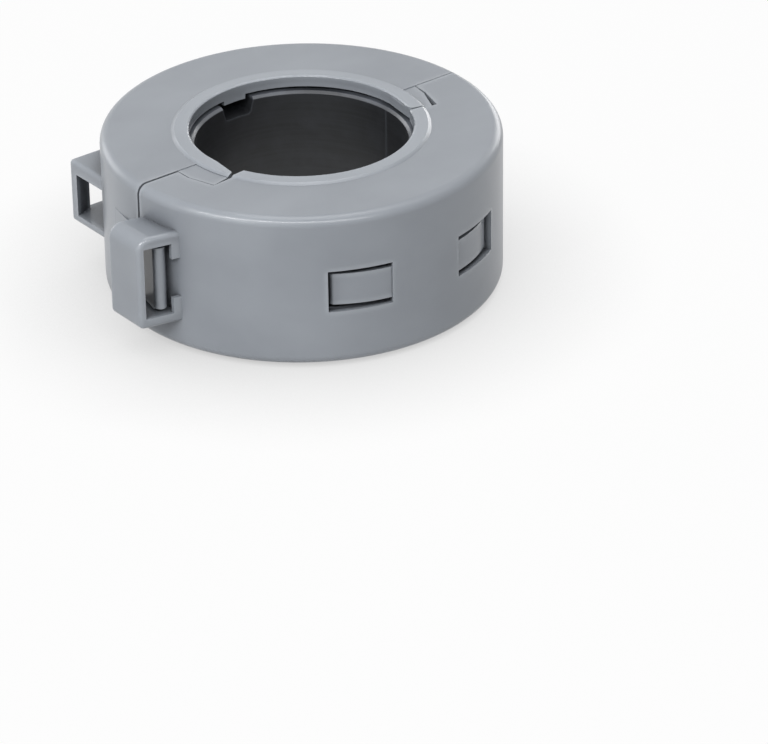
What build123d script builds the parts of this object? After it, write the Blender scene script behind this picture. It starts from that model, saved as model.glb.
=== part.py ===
"""Clip-on ferrite core: two ferrite half rings in a hinged two-part nylon case.

Frame: origin at the centre of the cable bore, half way up. +Z is the bore axis,
pointing up. +X points at the hinge and -X at the snap latch. The case halves meet
on the plane y = 0: the front half lies at -Y and the rear half at +Y.
"""

import os
from math import cos, degrees, radians, sin, sqrt

from build123d import *

os.makedirs("parts", exist_ok=True)

# Driving dimensions in millimetres

# Case shell
case_radius = 24.0
case_height = 19.2
case_wall = 1.4
flange_thickness = 1.2
case_bore_radius = 13.4
shell_edge_radius = 0.65
lip_edge_radius = 0.2
inner_corner_radius = 0.5
rim_width = 1.7
rim_slope = 0.4
rim_height = 0.25
seam_gap_latch = 0.35
seam_gap_hinge = 0.08

# Ferrite ring and the room it has in the case
ferrite_bore_radius = 12.8
ferrite_side_clearance = 1.0
ferrite_end_clearance = 0.4
ferrite_chamfer = 0.3
split_gap = 0.02
notch_top_width = 4.7
notch_floor_width = 3.6
notch_depth = 2.05
notch_reach = 4.2
notch_corner_radius = 0.5

# Locating peg under each flange, over the ferrite notch
peg_width = 3.2
peg_length = 2.0
peg_drop = 0.6

# Spring leaves that press on the ferrite, two to a half
window_half_height = 2.63
window_start_angle = 11.8
window_end_angle = 30.5
leaf_half_height = 2.0
leaf_end_angle = 30.0
leaf_thickness = 1.1
leaf_step = 0.2
leaf_set_in = 0.7
leaf_tip_radius = 0.6
nose_radius = 0.5
nose_clearance = 0.03

# Locating tabs on the rear flanges: widths out from the bore at root, shoulder and tip
tab_drop = 0.08
tab_length = 5.6
tab_shoulder = 2.2
tab_end_rise = 0.7
tab_tip_radius = 0.55
tab_clearance = 0.2
latch_tab_widths = (4.75, 4.7, 3.6)
latch_tab_draft = 0.4
latch_tab_end_clearance = 0.15
hinge_tab_widths = (3.9, 3.55, 2.1)
hinge_tab_draft = -0.7
hinge_tab_slit = 0.65
hinge_tab_end_clearance = 0.08

# Latch tongue on the rear half
tongue_angle = 12.2
tongue_offset = 0.65
tongue_thickness = 1.2
tongue_half_height = 4.2
tongue_root = 5.6
tongue_tip = 5.15
bead_radius = 0.8
bead_half_height = 4.0
tooth_start = 2.55
tooth_length = 1.75
tooth_height = 0.6
tooth_half_height = 2.3

# Latch box on the front half
box_stand_out = 4.2
box_half_height = 5.9
box_end_wall = 1.35
box_side_wall = 0.75
box_inner_start = -0.75
box_outer_start = 0.45
box_outer_end = -5.6
box_mouth_angle = 196.4
box_top_radius = 1.8
box_bottom_radius = 0.8
mouth_edge_radius = 0.6
entry_edge_radius = 0.4
land_clearance = 0.15
land_length = 2.4
pocket_depth = 0.6
pocket_half_height = 2.55
pocket_length = 3.0
pad_clearance = 0.35
pad_start = 1.0
pad_end = 12.0
nub_stand_out = 1.0
nub_depth = 0.5

# Tie loop on the rear half
loop_stand_out = 4.28
loop_angle = 135.3
loop_top = 4.05
loop_bottom = -4.15
loop_top_plate = 1.6
loop_bottom_plate = 1.05
post_width = 1.45
post_tip_width = 0.45
post_length = 2.45
loop_edge_radius = 0.5

# Hinge
hinge_offset = 2.0
hinge_radius = 1.7
pin_radius = 0.8
pin_clearance = 0.05
hinge_half_height = 4.3
barrel_half_height = 2.2
ear_clearance = 0.1
snap_slot = 1.35
arm_reach = 4.6

# Sizes that follow from the ones above
half_height = case_height / 2
inner_radius = case_radius - case_wall
channel_half = half_height - flange_thickness
wall_middle = case_radius - case_wall / 2
rim_radius = case_bore_radius + rim_width
rim_foot = rim_radius + rim_slope
face_height = half_height + rim_height
ferrite_radius = inner_radius - ferrite_side_clearance
ferrite_length = 2 * (channel_half - ferrite_end_clearance)
hinge_x = case_radius + hinge_offset
box_outer_x = -(case_radius + box_stand_out)
box_root = inner_radius + 0.1
box_length = box_outer_start - box_outer_end
cavity_half = box_half_height - box_end_wall
cut_height = 4 * half_height

# Middle direction of each half, and the way its profile is swept from +X
FRONT = 270
REAR = 90
front_sweep = Axis((0, 0, 0), (0, 0, -1))
rear_sweep = Axis((0, 0, 0), (0, 0, 1))


def polar(radius, angle):
    """Point in plan at a radius and an angle in degrees."""
    return (radius * cos(radians(angle)), radius * sin(radians(angle)))


def degrees_at(reach):
    """Angle that a distance round the outside of the case takes up."""
    return degrees(reach / case_radius)


def wall_meets(x):
    """How far along the other axis the middle of the wall lies at a given x or y."""
    return sqrt(wall_middle**2 - x**2)


def ring_sector(inner, outer, start, end):
    """Plan of a piece of ring between two radii and two angles."""
    with BuildSketch() as sector:
        with BuildLine():
            CenterArc((0, 0), outer, start, end - start)
            CenterArc((0, 0), inner, start, end - start)
            Line(polar(inner, start), polar(outer, start))
            Line(polar(inner, end), polar(outer, end))
        make_face()
    return sector.sketch


def plan(*points):
    """Plan with straight sides through the given points."""
    with BuildSketch() as outline:
        with BuildLine():
            Polyline(*points, close=True)
        make_face()
    return outline.sketch


def rounded(shape, corner, radius):
    """The same plan with the corner nearest to a point rounded."""
    with BuildSketch() as outline:
        add(shape)
        fillet(outline.vertices().sort_by_distance(corner)[0], radius)
    return outline.sketch


def draw_rims(section):
    """Draw the raised rims round the bore, each with the flange under it, in a section."""
    with BuildLine() as outline:
        Polyline(
            (case_bore_radius, channel_half),
            (case_bore_radius, face_height),
            (rim_radius, face_height),
            (rim_foot, half_height),
            (rim_foot, channel_half),
            close=True,
        )
    make_face(outline.edges())
    fillet(section.vertices().sort_by_distance((case_bore_radius, face_height))[0], lip_edge_radius)
    mirror(about=Plane.XZ)


def shell_profile():
    """Section of the case: outer wall, two flanges and the raised rims round the bore."""
    with BuildSketch(Plane.XZ) as profile:
        draw_rims(profile)
        with BuildLine():
            Polyline(
                (rim_radius, channel_half),
                (inner_radius, channel_half),
                (inner_radius, -channel_half),
                (rim_radius, -channel_half),
                (rim_radius, -half_height),
                (case_radius, -half_height),
                (case_radius, half_height),
                (rim_radius, half_height),
                close=True,
            )
        make_face()
        fillet(profile.vertices().group_by(Axis.X)[-1], shell_edge_radius)
        wall_corners = profile.vertices().filter_by_position(Axis.X, inner_radius - 0.01, inner_radius + 0.01)
        fillet(wall_corners, inner_corner_radius)
    return profile.sketch


def leaf_plan(middle, turn):
    """Plan of one spring leaf: it leaves the wall a step in and bends in towards the ferrite."""
    root = middle + turn * window_start_angle
    tip = middle + turn * leaf_end_angle
    along = polar(turn, root + 90)
    root_outer = polar(case_radius - leaf_step, root)
    tip_outer = polar(case_radius - leaf_set_in, tip)
    tip_inner = polar(case_radius - leaf_set_in - leaf_thickness, tip)
    with BuildSketch() as leaf:
        with BuildLine():
            TangentArc(root_outer, tip_outer, tangent=along)
            TangentArc(polar(inner_radius, root), tip_inner, tangent=along)
            Line(polar(inner_radius, root), root_outer)
            Line(tip_inner, tip_outer)
        make_face()
        fillet(leaf.vertices().sort_by_distance(tip_outer)[0], leaf_tip_radius)
    return leaf.sketch


def leaf_nose(middle, turn):
    """Plan of the round nose at the tip of a leaf, which touches the ferrite."""
    tip = middle + turn * (leaf_end_angle - 2)
    centre = polar(ferrite_radius + nose_radius + nose_clearance, tip)
    with BuildSketch(Plane(origin=(*centre, 0))) as nose:
        Circle(nose_radius)
    return nose.sketch


def tongue_point(along, out):
    """Point in plan, measured along the tongue from the seam and out from its inner face."""
    slope = radians(tongue_angle)
    root_x = -(case_radius - tongue_offset)
    return (root_x - along * sin(slope) - out * cos(slope), -along * cos(slope) + out * sin(slope))


def tab_plan(side, widths, bore_edge, end, start=0.0):
    """Plan of a locating tab or of its cut-out, from its widths at root, shoulder and tip."""
    root, shoulder, tip = (case_bore_radius + width for width in widths)
    bore_root, bore_tip = bore_edge
    return plan(
        (side * bore_root, start),
        (side * root, start),
        (side * shoulder, -tab_shoulder),
        (side * tip, -end),
        (side * bore_tip, tab_end_rise - end),
    )


def widened(widths, root_gap, tip_gap):
    """Widths of a tab's cut-out, with its clearance at the root and at the tip."""
    root, shoulder, tip = widths
    return (root + root_gap, shoulder + root_gap, tip + tip_gap)


def add_shell(middle, sweep):
    """Half shell with its two spring leaves and its two locating pegs."""
    revolve(shell_profile(), axis=sweep, revolution_arc=180)
    for turn in (-1, 1):
        start = middle + turn * window_start_angle
        end = middle + turn * window_end_angle
        window = ring_sector(inner_radius - 1, case_radius + 1, min(start, end), max(start, end))
        extrude(window, amount=window_half_height, both=True, mode=Mode.SUBTRACT)
        extrude(leaf_plan(middle, turn), amount=leaf_half_height, both=True)
        extrude(leaf_nose(middle, turn), amount=leaf_half_height, both=True)
    peg_turn = degrees(peg_width / 2 / case_bore_radius)
    peg = ring_sector(case_bore_radius, case_bore_radius + peg_length, middle - peg_turn, middle + peg_turn)
    for level in (channel_half - peg_drop, -channel_half):
        extrude(Pos(0, 0, level) * peg, amount=peg_drop)


def trim_seam():
    """Clear the front half from the seam plane, wider at the latch than at the hinge."""
    reach = case_radius + 1
    gap = plan((-reach, 1), (reach, 1), (reach, -seam_gap_hinge), (-reach, -seam_gap_latch))
    extrude(gap, amount=cut_height, both=True, mode=Mode.SUBTRACT)


def mouth_point(x):
    """Point of the latch box's mouth plane in plan, at a given x."""
    wall_x, wall_y = polar(case_radius, box_mouth_angle)
    slope = (box_outer_end - wall_y) / (box_outer_x - wall_x)
    return (x, wall_y + slope * (x - wall_x))


def entry_point(x):
    """Point of the latch box's entry end in plan, at a given x."""
    slope = (box_outer_start - box_inner_start) / (box_outer_x + case_radius)
    return (x, box_inner_start + slope * (x + case_radius))


# Front half of the case: latch box, hinge ears and their pin

with BuildPart() as front_case_half:
    # Latch box: a short sleeve outside the wall, open at both ends
    box_plan = plan(
        entry_point(-wall_middle),
        entry_point(box_outer_x),
        mouth_point(box_outer_x),
        mouth_point(-box_root),
    )
    extrude(box_plan, amount=box_half_height, both=True)
    for direction, edge, radius in (
        (Axis.Z, -1, box_top_radius),
        (Axis.Z, 0, box_bottom_radius),
        (Axis.Y, 0, mouth_edge_radius),
        (Axis.Y, -1, entry_edge_radius),
    ):
        outer_face = front_case_half.faces().sort_by(Axis.X)[0]
        fillet(outer_face.edges().sort_by(direction)[edge], radius)
    cavity_x = box_outer_x + box_side_wall
    cavity = plan((cavity_x, box_length), (cavity_x, -2 * box_length), (0, -2 * box_length), (0, box_length))
    extrude(cavity, amount=cavity_half, both=True, mode=Mode.SUBTRACT)

    # Inner pad behind the latch, so that the recess leaves a full wall
    pad = ring_sector(ferrite_radius + pad_clearance, wall_middle, 180 + pad_start, 180 + pad_end)
    extrude(pad, amount=cavity_half, both=True)

    add_shell(FRONT, front_sweep)

    # Land that the tongue slides over and pocket that its tooth drops into
    land = plan(
        tongue_point(-1.5, -land_clearance),
        tongue_point(land_length + pocket_length, -land_clearance),
        tongue_point(land_length + pocket_length, tongue_thickness),
        tongue_point(-1.5, tongue_thickness),
    )
    extrude(land, amount=cavity_half, both=True, mode=Mode.SUBTRACT)
    pocket = plan(
        tongue_point(land_length, -land_clearance - pocket_depth),
        tongue_point(land_length + pocket_length, -land_clearance - pocket_depth),
        tongue_point(land_length + pocket_length, tongue_thickness),
        tongue_point(land_length, tongue_thickness),
    )
    extrude(pocket, amount=pocket_half_height, both=True, mode=Mode.SUBTRACT)

    # Two nubs in the inner corners of the mouth
    nub_x = polar(case_radius, box_mouth_angle)[0] - nub_stand_out
    nub_plan = plan(
        mouth_point(-box_root),
        mouth_point(nub_x),
        (nub_x, mouth_point(nub_x)[1] + nub_depth),
        (-box_root, mouth_point(-box_root)[1] + nub_depth),
    )
    nub_height = cavity_half - pocket_half_height
    for level in (pocket_half_height, -pocket_half_height - nub_height):
        extrude(Pos(0, 0, level) * nub_plan, amount=nub_height)

    trim_seam()

    # Cut-outs for the locating tabs of the rear half, through both flanges into the bore
    cut_edge = (case_bore_radius - 2 * rim_width, case_bore_radius - 2 * rim_width)
    latch_widths = widened(latch_tab_widths, tab_clearance, tab_clearance)
    hinge_widths = widened(hinge_tab_widths, tab_clearance, hinge_tab_slit)
    for cut in (
        tab_plan(-1, latch_widths, cut_edge, tab_length + latch_tab_end_clearance, start=1),
        tab_plan(1, hinge_widths, cut_edge, tab_length + hinge_tab_end_clearance, start=1),
    ):
        for level in (ferrite_length / 2, -ferrite_length / 2 - cut_height):
            extrude(Pos(0, 0, level) * cut, amount=cut_height, mode=Mode.SUBTRACT)

    # Hinge ears and pin
    ear_height = hinge_half_height - barrel_half_height - ear_clearance
    for level in (barrel_half_height + ear_clearance, -hinge_half_height):
        with BuildSketch(Plane.XY.offset(level)) as ear:
            with Locations((hinge_x, 0)):
                Circle(hinge_radius)
            with BuildLine():
                Polyline(
                    (hinge_x + hinge_radius, 0),
                    (hinge_x + hinge_radius, -hinge_radius / 2),
                    polar(wall_middle, -degrees_at(arm_reach)),
                    polar(wall_middle, -degrees_at(arm_reach / 2)),
                    (hinge_x - hinge_radius, -hinge_radius / 4),
                    (hinge_x - hinge_radius, 0),
                    close=True,
                )
            make_face()
        extrude(ear.sketch, amount=ear_height)
    with BuildSketch(Plane.XY.offset(-hinge_half_height)) as pin:
        with Locations((hinge_x, 0)):
            Circle(pin_radius)
    extrude(pin.sketch, amount=2 * hinge_half_height)

front_case_half.part.label = "front_case_half"
export_step(front_case_half.part, "parts/front_case_half.step")


# Rims of the front side on their own, from which the locating tabs take theirs

with BuildPart() as front_rims:
    with BuildSketch(Plane.XZ) as rims:
        draw_rims(rims)
    revolve(rims.sketch, axis=front_sweep, revolution_arc=180)


# Rear half of the case: snap tongue, tie loop, locating tabs and hinge barrel

with BuildPart() as rear_case_half:
    # Tie loop: two plates that square off the wall, joined by a post at their corner
    corner = polar(case_radius + loop_stand_out, loop_angle)
    corner_x, corner_y = corner
    plate_plan = plan(
        corner,
        (corner_x, wall_meets(corner_x)),
        polar(wall_middle, loop_angle),
        (-wall_meets(corner_y), corner_y),
    )
    for level, thickness in ((loop_top - loop_top_plate, loop_top_plate), (loop_bottom, loop_bottom_plate)):
        extrude(Pos(0, 0, level) * plate_plan, amount=thickness)
    post_plan = plan(
        corner,
        (corner_x, corner_y - post_width),
        (corner_x + post_length, corner_y - post_tip_width),
        (corner_x + post_length, corner_y),
    )
    extrude(Pos(0, 0, loop_bottom) * post_plan, amount=loop_top - loop_bottom)
    corner_edge = rear_case_half.edges().filter_by(Axis.Z).sort_by_distance(corner)[0]
    fillet(corner_edge, loop_edge_radius)
    plate_faces = rear_case_half.faces().filter_by(Axis.Z).sort_by(Axis.Z)
    fillet(plate_faces[0].edges() + plate_faces[-1].edges(), loop_edge_radius)

    add_shell(REAR, rear_sweep)

    # Snap tongue: a straight tangential plate with a round tip and a catch tooth inside
    tongue_plan = plan(
        tongue_point(-tongue_root, tongue_thickness / 3),
        tongue_point(tongue_tip, 0),
        tongue_point(tongue_tip, tongue_thickness),
        tongue_point(-tongue_root, tongue_thickness),
    )
    extrude(tongue_plan, amount=tongue_half_height, both=True)
    bead_middle = tongue_point(tongue_tip, tongue_thickness - bead_radius)
    with BuildSketch(Plane(origin=(*bead_middle, 0))) as bead:
        Circle(bead_radius)
    extrude(bead.sketch, amount=bead_half_height, both=True)
    tooth = plan(
        tongue_point(tooth_start, tongue_thickness / 2),
        tongue_point(tooth_start, -tooth_height),
        tongue_point(tooth_start + tooth_length, 0),
        tongue_point(tooth_start + tooth_length, tongue_thickness / 2),
    )
    extrude(tooth, amount=tooth_half_height, both=True)

    # Locating tabs on both flanges, with the rim carried on across them
    tab_thickness = flange_thickness - tab_drop
    for side, widths, draft in (
        (-1, latch_tab_widths, latch_tab_draft),
        (1, hinge_tab_widths, hinge_tab_draft),
    ):
        tab = tab_plan(side, widths, (case_bore_radius, case_bore_radius + draft), tab_length)
        tab = rounded(tab, (side * case_bore_radius, -tab_length), tab_tip_radius)
        for level in (channel_half, -channel_half - tab_thickness):
            extrude(Pos(0, 0, level) * tab, amount=tab_thickness)
        prism = extrude(tab, amount=cut_height, both=True, mode=Mode.PRIVATE)
        add(prism & front_rims.part)

    # Hinge barrel with its arm and the slot that snaps over the pin
    with BuildSketch() as barrel:
        with Locations((hinge_x, 0)):
            Circle(hinge_radius)
        with BuildLine():
            Polyline(
                (hinge_x + hinge_radius, 0),
                (hinge_x + hinge_radius, hinge_radius / 2),
                polar(wall_middle, degrees_at(arm_reach)),
                polar(wall_middle, degrees_at(arm_reach / 2)),
                (hinge_x - hinge_radius, hinge_radius / 4),
                (hinge_x - hinge_radius, 0),
                close=True,
            )
        make_face()
    extrude(barrel.sketch, amount=barrel_half_height, both=True)
    with BuildSketch() as pin_hole:
        with Locations((hinge_x, 0)):
            Circle(pin_radius + pin_clearance)
        with Locations((hinge_x, -hinge_radius)):
            Rectangle(snap_slot, 2 * hinge_radius)
    extrude(pin_hole.sketch, amount=barrel_half_height, both=True, mode=Mode.SUBTRACT)

rear_case_half.part.label = "rear_case_half"
export_step(rear_case_half.part, "parts/rear_case_half.step")


# Ferrite halves

def ferrite_half(middle, sweep):
    """Half ring of sintered ferrite with a notch in the middle of each end."""
    with BuildSketch(Plane.XZ) as section:
        with Locations(((ferrite_bore_radius + ferrite_radius) / 2, 0)):
            Rectangle(ferrite_radius - ferrite_bore_radius, ferrite_length)
        chamfer(section.vertices(), ferrite_chamfer)
    revolve(section.sketch, axis=sweep, revolution_arc=180)
    outward = (*polar(1, middle), 0)
    sideways = (*polar(1, middle + 90), 0)
    with BuildSketch(Plane(origin=(0, 0, 0), x_dir=sideways, z_dir=outward)) as notches:
        with BuildLine():
            Polyline(
                (-notch_top_width / 2, ferrite_length / 2),
                (-notch_floor_width / 2, ferrite_length / 2 - notch_depth),
                (notch_floor_width / 2, ferrite_length / 2 - notch_depth),
                (notch_top_width / 2, ferrite_length / 2),
                close=True,
            )
        make_face()
        fillet(notches.vertices().group_by(Axis.Y)[0], notch_corner_radius)
        mirror(about=Plane.XZ)
    extrude(notches.sketch, amount=ferrite_bore_radius + notch_reach, mode=Mode.SUBTRACT)
    with BuildSketch() as split:
        Rectangle(3 * ferrite_radius, 2 * split_gap)
    extrude(split.sketch, amount=ferrite_length, both=True, mode=Mode.SUBTRACT)


with BuildPart() as front_ferrite_half:
    ferrite_half(FRONT, front_sweep)

front_ferrite_half.part.label = "front_ferrite_half"
export_step(front_ferrite_half.part, "parts/front_ferrite_half.step")

with BuildPart() as rear_ferrite_half:
    ferrite_half(REAR, rear_sweep)

rear_ferrite_half.part.label = "rear_ferrite_half"
export_step(rear_ferrite_half.part, "parts/rear_ferrite_half.step")
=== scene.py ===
"""Looks of the clip-on ferrite core: a grey nylon case that hinges round two ferrite halves.

Lengths are in metres, or in millimetres where a name ends in _mm, and angles are in degrees.
"""

import math

import bmesh
import bpy
from mathutils import Matrix, Vector


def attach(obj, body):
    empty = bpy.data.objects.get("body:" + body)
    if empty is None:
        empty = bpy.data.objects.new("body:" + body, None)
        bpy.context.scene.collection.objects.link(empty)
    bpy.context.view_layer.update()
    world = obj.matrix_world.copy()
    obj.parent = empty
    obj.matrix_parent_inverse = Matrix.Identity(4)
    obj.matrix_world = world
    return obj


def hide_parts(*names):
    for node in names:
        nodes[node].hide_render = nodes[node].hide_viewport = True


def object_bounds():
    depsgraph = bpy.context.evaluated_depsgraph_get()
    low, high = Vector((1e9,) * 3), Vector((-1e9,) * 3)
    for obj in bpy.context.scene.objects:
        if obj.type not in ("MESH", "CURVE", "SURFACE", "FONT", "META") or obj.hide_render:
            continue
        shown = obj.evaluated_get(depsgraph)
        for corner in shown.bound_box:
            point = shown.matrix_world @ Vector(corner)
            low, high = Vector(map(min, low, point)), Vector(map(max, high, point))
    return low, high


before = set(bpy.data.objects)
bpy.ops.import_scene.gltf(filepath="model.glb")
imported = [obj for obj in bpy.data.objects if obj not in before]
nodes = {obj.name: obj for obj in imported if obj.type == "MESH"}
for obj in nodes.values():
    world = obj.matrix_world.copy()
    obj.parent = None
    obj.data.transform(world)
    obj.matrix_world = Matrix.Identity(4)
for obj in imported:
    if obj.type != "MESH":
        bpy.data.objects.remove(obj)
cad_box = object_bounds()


# Camera: a long lens at the photograph's viewing angle

CAMERA_PLACE = Vector((-0.276816, -0.369489, 0.237873))
CAMERA_TARGET = Vector((0.001322, -0.013623, -0.018509))
CAMERA_ROLL = math.radians(-0.793)
CAMERA_LENS = 202.75
SENSOR_WIDTH = 36
CLIP_START = 0.01
CLIP_END = 20


def turned_to(place, target):
    """Turn that points an object's own -Z from one place at another, with its Y upwards."""
    return (target - place).to_track_quat("-Z", "Y").to_matrix().to_4x4()


def make_camera():
    """Camera with an unshifted long lens."""
    lens = bpy.data.cameras.new("product_camera")
    lens.sensor_width = SENSOR_WIDTH
    lens.lens = CAMERA_LENS
    lens.clip_start = CLIP_START
    lens.clip_end = CLIP_END
    camera = bpy.data.objects.new("product_camera", lens)
    bpy.context.collection.objects.link(camera)
    aim = turned_to(CAMERA_PLACE, CAMERA_TARGET) @ Matrix.Rotation(CAMERA_ROLL, 4, "Z")
    camera.matrix_world = Matrix.Translation(CAMERA_PLACE) @ aim
    bpy.context.scene.camera = camera


# Light: soft boxes overhead and on all sides, a strip at the front, and a faint dome

LAMP_DISTANCE = 1.0
# Azimuth, elevation, width, height and watts; azimuth 0 is the front and 90 the hinge side
LAMPS = {
    "overhead_soft_box": (130, 84, 0.6, 0.6, 3.0),
    "back_soft_box": (190, 12, 0.5, 0.5, 1.6),
    "hinge_side_soft_box": (115, 8, 0.5, 0.5, 2.5),
    "left_soft_box": (-86, 30, 0.7, 0.7, 2.6),
    "right_soft_box": (60, 60, 0.5, 0.5, 0.9),
    "low_soft_box": (-62, 16, 0.8, 0.8, 0.8),
    "front_strip": (-50, 46, 1.8, 0.08, 8.8),
}
DOME_STRENGTH = 0.03
WHITE = (1, 1, 1, 1)
SEEN_AS_WHITE = ("Is Camera Ray", "Is Glossy Ray", "Is Transmission Ray")


def from_side(azimuth, elevation):
    """Place of a lamp at an azimuth and elevation round the core."""
    turn, rise = math.radians(azimuth), math.radians(elevation)
    flat = math.cos(rise) * LAMP_DISTANCE
    return Vector((math.sin(turn) * flat, -math.cos(turn) * flat, math.sin(rise) * LAMP_DISTANCE))


def soft_box(name, place, width, height, watts):
    """Area lamp that faces the core, with its width level."""
    lamp = bpy.data.lights.new(name, "AREA")
    lamp.shape = "RECTANGLE"
    lamp.size = width
    lamp.size_y = height
    lamp.energy = watts
    holder = bpy.data.objects.new(name, lamp)
    bpy.context.collection.objects.link(holder)
    holder.matrix_world = Matrix.Translation(place) @ turned_to(place, Vector((0, 0, 0)))


def linear(hex_colour):
    """Linear RGBA of an sRGB hex colour."""
    parts = [int(hex_colour[i:i + 2], 16) / 255 for i in (1, 3, 5)]
    return [v / 12.92 if v <= 0.04045 else ((v + 0.055) / 1.055) ** 2.4 for v in parts] + [1]


def add(tree, kind, settings=None, links=None):
    """Adds a node with its settings, and links its inputs, each by its name or its number."""
    node = tree.nodes.new(kind)
    for key, value in (settings or {}).items():
        if isinstance(key, int) or key in node.inputs:
            node.inputs[key].default_value = value
        else:
            setattr(node, key, value)
    for key, source in (links or {}).items():
        tree.links.new(source, node.inputs[key])
    return node


def empty_material(name):
    """Material with an empty node tree, and that tree."""
    material = bpy.data.materials.new(name)
    material.use_nodes = True
    material.node_tree.nodes.clear()
    return material, material.node_tree


def rays_that_see(tree, *kinds):
    """Factor that is 1 for the named kinds of ray and 0 for the others."""
    rays = add(tree, "ShaderNodeLightPath").outputs
    factor = rays[kinds[0]]
    for kind in kinds[1:]:
        either = {0: factor, 1: rays[kind]}
        factor = add(tree, "ShaderNodeMath", {"operation": "MAXIMUM"}, either).outputs[0]
    return factor


def make_world():
    """Pale dome that lights faintly and that the camera and reflections see as white."""
    world = bpy.data.worlds.new("studio")
    bpy.context.scene.world = world
    world.use_nodes = True
    tree = world.node_tree
    tree.nodes.clear()
    settings = {"Color": linear("#F7F8FA"), "Strength": DOME_STRENGTH}
    dome = add(tree, "ShaderNodeBackground", settings).outputs[0]
    white = add(tree, "ShaderNodeBackground", {"Color": WHITE, "Strength": 1}).outputs[0]
    seen = rays_that_see(tree, *SEEN_AS_WHITE)
    shown = add(tree, "ShaderNodeMixShader", links={0: seen, 1: dome, 2: white}).outputs[0]
    add(tree, "ShaderNodeOutputWorld", links={"Surface": shown})


FLOOR_HALF_WIDTH = 3
FLOOR_COLOUR = (0.58, 0.58, 0.58, 1)
FLOOR_WHITENESS = 0.95
CONTACT_REACH = 0.02
CONTACT_SHADE = 0.55
SHADE_SAMPLES = 4


def table_finish():
    """White laminate: nearly white to the camera, with the core's shadow, and a painted contact
    shadow that dims its white glow near the core.
    """
    material, tree = empty_material("white laminate, painted contact shadow")
    laminate = add(tree, "ShaderNodeBsdfDiffuse", {"Color": FLOOR_COLOUR}).outputs[0]
    # Painted shadow: the white glow dims towards CONTACT_SHADE close to the core
    upward = {"Distance": CONTACT_REACH, "samples": SHADE_SAMPLES}
    open_to_sky = add(tree, "ShaderNodeAmbientOcclusion", upward).outputs["AO"]
    painted_contact_shadow = add(tree, "ShaderNodeMapRange", {"To Min": CONTACT_SHADE}, {"Value": open_to_sky})
    glow = {"Strength": painted_contact_shadow.outputs["Result"]}
    white = add(tree, "ShaderNodeEmission", {"Color": WHITE}, glow).outputs[0]
    paling = {1: laminate, 2: white}
    shaded_white = add(tree, "ShaderNodeMixShader", {0: FLOOR_WHITENESS}, paling).outputs[0]
    choice = {0: rays_that_see(tree, *SEEN_AS_WHITE), 1: laminate, 2: shaded_white}
    shown = add(tree, "ShaderNodeMixShader", links=choice).outputs[0]
    add(tree, "ShaderNodeOutputMaterial", links={"Surface": shown})
    return material


def make_floor(level):
    """Plain pale table top under the core."""
    mesh = bpy.data.meshes.new("table_top")
    shape = bmesh.new()
    bmesh.ops.create_grid(shape, x_segments=1, y_segments=1, size=FLOOR_HALF_WIDTH)
    bmesh.ops.translate(shape, vec=(0, 0, level), verts=shape.verts)
    shape.to_mesh(mesh)
    shape.free()
    mesh.materials.append(table_finish())
    floor = bpy.data.objects.new("table_top", mesh)
    bpy.context.collection.objects.link(floor)


# Finishes

# A colour Mix node's sockets share their names with other kinds, so they go by number
FACTOR, FIRST, SECOND, BLEND = 0, 6, 7, 2
GRAIN_DEPTH = 0.00002


def speckle(tree, place, size_mm, detail, stretch=(1, 1, 1)):
    """Noise whose features are about size_mm across, times the stretch along each axis."""
    scale = {"Scale": [1 / part for part in stretch]}
    lie = add(tree, "ShaderNodeMapping", scale, {"Vector": place}).outputs[0]
    settings = {"Scale": 1000 / size_mm, "Detail": detail}
    return add(tree, "ShaderNodeTexNoise", settings, {"Vector": lie}).outputs["Fac"]


def outer_edges(tree, reach_mm):
    """Factor that rises towards 1 within reach_mm of an outer edge or on its rounding."""
    inward = {
        "inside": True,
        "only_local": True,
        "samples": SHADE_SAMPLES,
        "Distance": reach_mm / 1000,
    }
    depth = add(tree, "ShaderNodeAmbientOcclusion", inward).outputs["AO"]
    thin = {"From Min": 1, "From Max": 0.75}
    return add(tree, "ShaderNodeMapRange", thin, {"Value": depth}).outputs["Result"]


def recess_shade(tree, reach_mm, own_only):
    """Factor for painted shade, rising towards 1 deep in gaps narrower than reach_mm."""
    outward = {"only_local": own_only, "samples": SHADE_SAMPLES, "Distance": reach_mm / 1000}
    openness = add(tree, "ShaderNodeAmbientOcclusion", outward).outputs["AO"]
    shut = {"From Min": 0.85, "From Max": 0.3}
    return add(tree, "ShaderNodeMapRange", shut, {"Value": openness}).outputs["Result"]


def from_middle(tree, place, low_mm, high_mm, most=1):
    """Factor that goes from 0 to most between two heights above or below the middle plane."""
    height = add(tree, "ShaderNodeSeparateXYZ", links={"Vector": place}).outputs["Z"]
    either = add(tree, "ShaderNodeMath", {"operation": "ABSOLUTE"}, {0: height}).outputs[0]
    heights = {"From Min": low_mm / 1000, "From Max": high_mm / 1000, "To Max": most}
    return add(tree, "ShaderNodeMapRange", heights, {"Value": either}).outputs["Result"]


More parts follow.
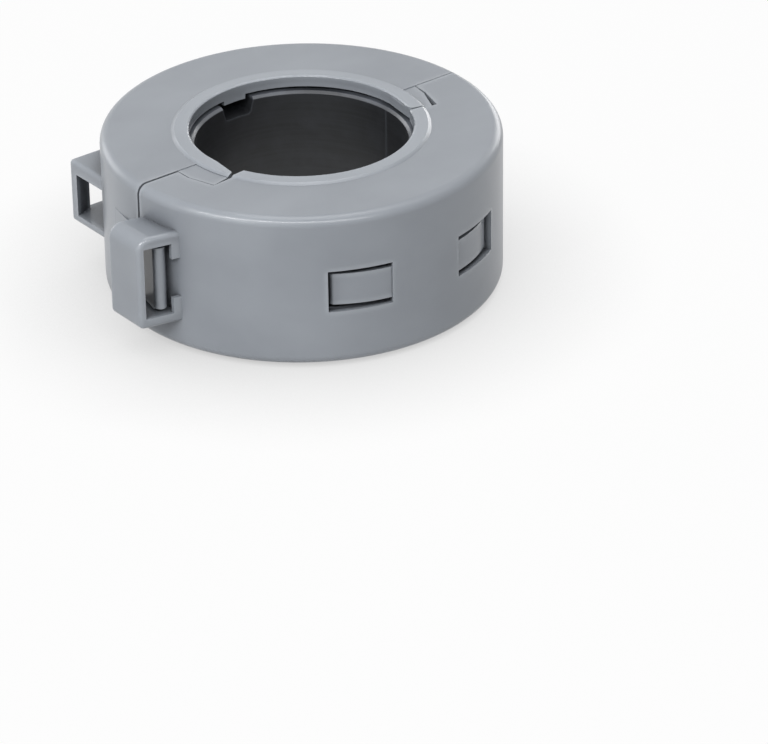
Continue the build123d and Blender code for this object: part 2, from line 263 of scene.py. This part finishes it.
def moulded_nylon(half, reach_mm, own_recesses):
    """Grey polyamide, injection moulded in a fine spark-eroded tool.

    It gives the eye a satin blue-grey with faint flow clouds, smoother edges, a painted highlight
    that lightens edges and rims, and painted shade that darkens narrow gaps.
    """
    material, tree = empty_material(f"moulded nylon, satin grey, {half}")
    place = add(tree, "ShaderNodeTexCoord").outputs["Object"]
    cloud = {"Value": speckle(tree, place, 9, 3, stretch=(1.6, 1, 1))}
    flow = add(tree, "ShaderNodeMapRange", {"From Min": 0.3, "From Max": 0.7}, cloud)
    greys = {"data_type": "RGBA", FIRST: linear("#8A8F96"), SECOND: linear("#93989F")}
    flowing = add(tree, "ShaderNodeMix", greys, {FACTOR: flow.outputs["Result"]})
    # Painted highlight: the raised rims and the outer edges are mixed towards a lighter blue-grey
    pale = {"data_type": "RGBA", SECOND: linear("#B3B9C0")}
    rim_highlight = from_middle(tree, place, 9.62, 9.8, 0.3)
    lightened = add(tree, "ShaderNodeMix", pale, {FACTOR: rim_highlight, FIRST: flowing.outputs[BLEND]})
    # Painted shade: the colour goes towards near-black deep in narrow gaps, where shade falls
    painted_shade = {"data_type": "RGBA", SECOND: linear("#2C2E33")}
    recess = recess_shade(tree, reach_mm, own_recesses)
    body = add(tree, "ShaderNodeMix", painted_shade, {FACTOR: recess, FIRST: lightened.outputs[BLEND]})
    edge = {"Value": outer_edges(tree, 0.7)}
    # Painted highlight along the outer edges, up to 0.3 of the lighter grey; the smoother
    # roughness there is the finish
    paler = add(tree, "ShaderNodeMapRange", {"To Max": 0.3}, edge).outputs["Result"]
    edged = add(tree, "ShaderNodeMix", pale, {FACTOR: paler, FIRST: body.outputs[BLEND]})
    smoother = add(tree, "ShaderNodeMapRange", {"To Min": 0.31, "To Max": 0.1}, edge)
    # The tool's grain is about 0.05 mm; it is drawn as 0.2 mm, the finest that shows
    grain = {"Height": speckle(tree, place, 0.2, 2)}
    relief = add(tree, "ShaderNodeBump", {"Strength": 0.15, "Distance": GRAIN_DEPTH}, grain)
    surface = {
        "Base Color": edged.outputs[BLEND],
        "Roughness": smoother.outputs["Result"],
        "Normal": relief.outputs["Normal"],
    }
    shader = add(tree, "ShaderNodeBsdfPrincipled", {"IOR": 1.53}, surface).outputs[0]
    add(tree, "ShaderNodeOutputMaterial", links={"Surface": shader})
    return material


def sintered_ferrite():
    """Nickel-zinc ferrite, pressed, sintered and ground in the bore.

    It gives the eye a dull charcoal with fine rings in the bore, and end faces lightened in
    patches, partly for their ground finish and partly as painted light.
    """
    material, tree = empty_material("sintered ferrite, ground")
    place = add(tree, "ShaderNodeTexCoord").outputs["Object"]
    # Grinding lines run round the bore, 0.35 mm apart as drawn, where the real ones are finer
    rings = {"Value": speckle(tree, place, 0.35, 1, stretch=(40, 40, 1))}
    lines = add(tree, "ShaderNodeMapRange", {"From Min": 0.35, "From Max": 0.65}, rings)
    blacks = {"data_type": "RGBA", FIRST: linear("#16171A"), SECOND: linear("#1F2124")}
    body = add(tree, "ShaderNodeMix", blacks, {FACTOR: lines.outputs["Result"]})
    dull = {"data_type": "RGBA", SECOND: linear("#26282C")}
    patches = {"Value": speckle(tree, place, 2.5, 3)}
    cloud = add(tree, "ShaderNodeMapRange", {"From Min": 0.45, "From Max": 0.8}, patches)
    clouded = {FACTOR: cloud.outputs["Result"], FIRST: body.outputs[BLEND]}
    skin = add(tree, "ShaderNodeMix", dull, clouded)
    chipped = {"data_type": "RGBA", SECOND: linear("#3E4146")}
    edge = add(tree, "ShaderNodeMapRange", {"To Max": 0.7}, {"Value": outer_edges(tree, 0.25)})
    edge_wear = {FACTOR: edge.outputs["Result"], FIRST: skin.outputs[BLEND]}
    edged = add(tree, "ShaderNodeMix", chipped, edge_wear)
    # Partly the ground finish, partly painted light: the end faces go lighter grey in noisy
    # patches, standing for light they catch
    end_face = from_middle(tree, place, 7.6, 7.8)
    light_patch_limits = {"From Min": 0.4, "From Max": 0.6, "To Min": 0.3}
    light_patches = add(tree, "ShaderNodeMapRange", light_patch_limits, {"Value": speckle(tree, place, 7, 4)})
    both = {0: end_face, 1: light_patches.outputs["Result"]}
    lightened = add(tree, "ShaderNodeMath", {"operation": "MULTIPLY"}, both).outputs[0]
    grey = {"data_type": "RGBA", SECOND: linear("#5B5F66")}
    lighter_end_faces = add(tree, "ShaderNodeMix", grey, {FACTOR: lightened, FIRST: edged.outputs[BLEND]})
    ground = {"To Min": 0.42, "To Max": 0.28}
    smoother = add(tree, "ShaderNodeMapRange", ground, {"Value": end_face})
    # The pressed grain is drawn as 0.15 mm, where the real one is too fine to show
    grain = {"Height": speckle(tree, place, 0.15, 2)}
    relief = add(tree, "ShaderNodeBump", {"Strength": 0.25, "Distance": GRAIN_DEPTH}, grain)
    surface = {
        "Base Color": lighter_end_faces.outputs[BLEND],
        "Roughness": smoother.outputs["Result"],
        "Normal": relief.outputs["Normal"],
    }
    shader = add(tree, "ShaderNodeBsdfPrincipled", {"IOR": 1.65}, surface).outputs[0]
    add(tree, "ShaderNodeOutputMaterial", links={"Surface": shader})
    return material


# Case halves: copies whose two long outer edges are rounded wider than the solids have them

CASE_RADIUS = 0.024
CASE_HALF_HEIGHT = 0.0096
EDGE_ROUNDING = 0.0012
ROUNDING_RADIUS = CASE_RADIUS - EDGE_ROUNDING
ROUNDING_HEIGHT = CASE_HALF_HEIGHT - EDGE_ROUNDING
# Rings are cut where the rounding meets the flats, and at these slopes from there
RING_SLOPES = (0, 10, 20)
RING_SECTORS = 72
# How far a point may lie from a surface that it belongs to, and from a cut or a twin
NEAR = 0.00002
TINY = 1e-7
MERGE_DISTANCE = 1e-6
# Cosines of a face that lies level, and of a normal that points the rounding's way
LEVEL = 0.999
SAME_WAY = 0.6
NORMAL_LAYER = "kept_normal"


def cut(shape, faces, place, direction):
    """Cuts some of a shape's faces by a plane, and keeps both sides."""
    edges = {edge for face in faces for edge in face.edges}
    verts = {vert for face in faces for vert in face.verts}
    geometry = [*faces, *edges, *verts]
    bmesh.ops.bisect_plane(shape, geom=geometry, dist=TINY, plane_co=place, plane_no=direction)


def end_faces(shape):
    """Flat faces of the case's two ends, outside the rims."""
    return [
        face
        for face in shape.faces
        if abs(face.normal.z) > LEVEL
        and abs(abs(face.verts[0].co.z) - CASE_HALF_HEIGHT) < NEAR
    ]


def wall_faces(shape):
    """Faces of the case's round outer wall."""
    return [
        face
        for face in shape.faces
        if all(vert.co.xy.length > CASE_RADIUS - NEAR for vert in face.verts)
    ]


def cut_rings(shape):
    """Cuts rings into the wall and the end faces, where the wide rounding needs its points."""
    for slope in RING_SLOPES:
        rise = EDGE_ROUNDING * math.tan(math.radians(slope))
        for side in (-1, 1):
            cut(shape, wall_faces(shape), (0, 0, side * (ROUNDING_HEIGHT + rise)), (0, 0, 1))
        for step in range(RING_SECTORS):
            turn = math.tau * step / RING_SECTORS
            outward = Vector((math.cos(turn), math.sin(turn), 0))
            cut(shape, end_faces(shape), outward * (ROUNDING_RADIUS + rise), outward)


def rounding_direction(place):
    """Direction from the middle of the wide rounding to a point in its corner, or None outside."""
    side = Vector((place.x, place.y, 0))
    outward, upward = side.length - ROUNDING_RADIUS, abs(place.z) - ROUNDING_HEIGHT
    if min(outward, upward) < -TINY or math.hypot(outward, upward) < EDGE_ROUNDING - NEAR:
        return None
    return side.normalized() * outward + Vector((0, 0, math.copysign(upward, place.z)))


def round_corners(shape):
    """Pulls every point in the outer corners onto the wide rounding."""
    for vert in shape.verts:
        direction = rounding_direction(vert.co)
        if direction and direction.length > EDGE_ROUNDING:
            vert.co -= direction * (1 - EDGE_ROUNDING / direction.length)


def shading_normals(shape):
    """Normals of all face corners: the solid's own, and true ones on the wide rounding."""
    normals = []
    layer = shape.loops.layers.float_vector[NORMAL_LAYER]
    for face in shape.faces:
        for corner in face.loops:
            normal = corner[layer].normalized()
            direction = rounding_direction(corner.vert.co)
            on_rounding = direction and normal.dot(direction.normalized()) > SAME_WAY
            normals.append(direction.normalized() if on_rounding else normal)
    return normals


def with_wide_edges(node, body, name):
    """Makes a copy of a case half with the wide rounding, which stands for that half."""
    mesh = node.data.copy()
    kept = mesh.attributes.new(NORMAL_LAYER, "FLOAT_VECTOR", "CORNER")
    parts = [part for corner in mesh.corner_normals for part in corner.vector]
    kept.data.foreach_set("vector", parts)
    shape = bmesh.new()
    shape.from_mesh(mesh)
    bmesh.ops.remove_doubles(shape, verts=shape.verts, dist=MERGE_DISTANCE)
    cut_rings(shape)
    round_corners(shape)
    bmesh.ops.triangulate(shape, faces=shape.faces)
    normals = shading_normals(shape)
    shape.to_mesh(mesh)
    shape.free()
    mesh.attributes.remove(mesh.attributes[NORMAL_LAYER])
    mesh.normals_split_custom_set(normals)
    piece = bpy.data.objects.new(name, mesh)
    bpy.context.collection.objects.link(piece)
    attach(piece, body)
    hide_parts(node.name)


# The rear half's tongue lies in the front half's latch box, so the rear half's painted shade
# counts both halves
finishes = {
    "front_case_half": moulded_nylon("front half", 6, True),
    "rear_case_half": moulded_nylon("rear half", 4, False),
}
finishes["front_ferrite_half"] = finishes["rear_ferrite_half"] = sintered_ferrite()
for name, node in nodes.items():
    for slot in node.material_slots:
        slot.material = finishes[name]
for half in ("front", "rear"):
    with_wide_edges(nodes[f"{half}_case_half"], half, f"{half}_case_shell")

make_camera()
make_world()
make_floor(cad_box[0][2])
for name, (azimuth, elevation, width, height, watts) in LAMPS.items():
    soft_box(name, from_side(azimuth, elevation), width, height, watts)

bpy.context.scene.view_settings.view_transform = "Standard"
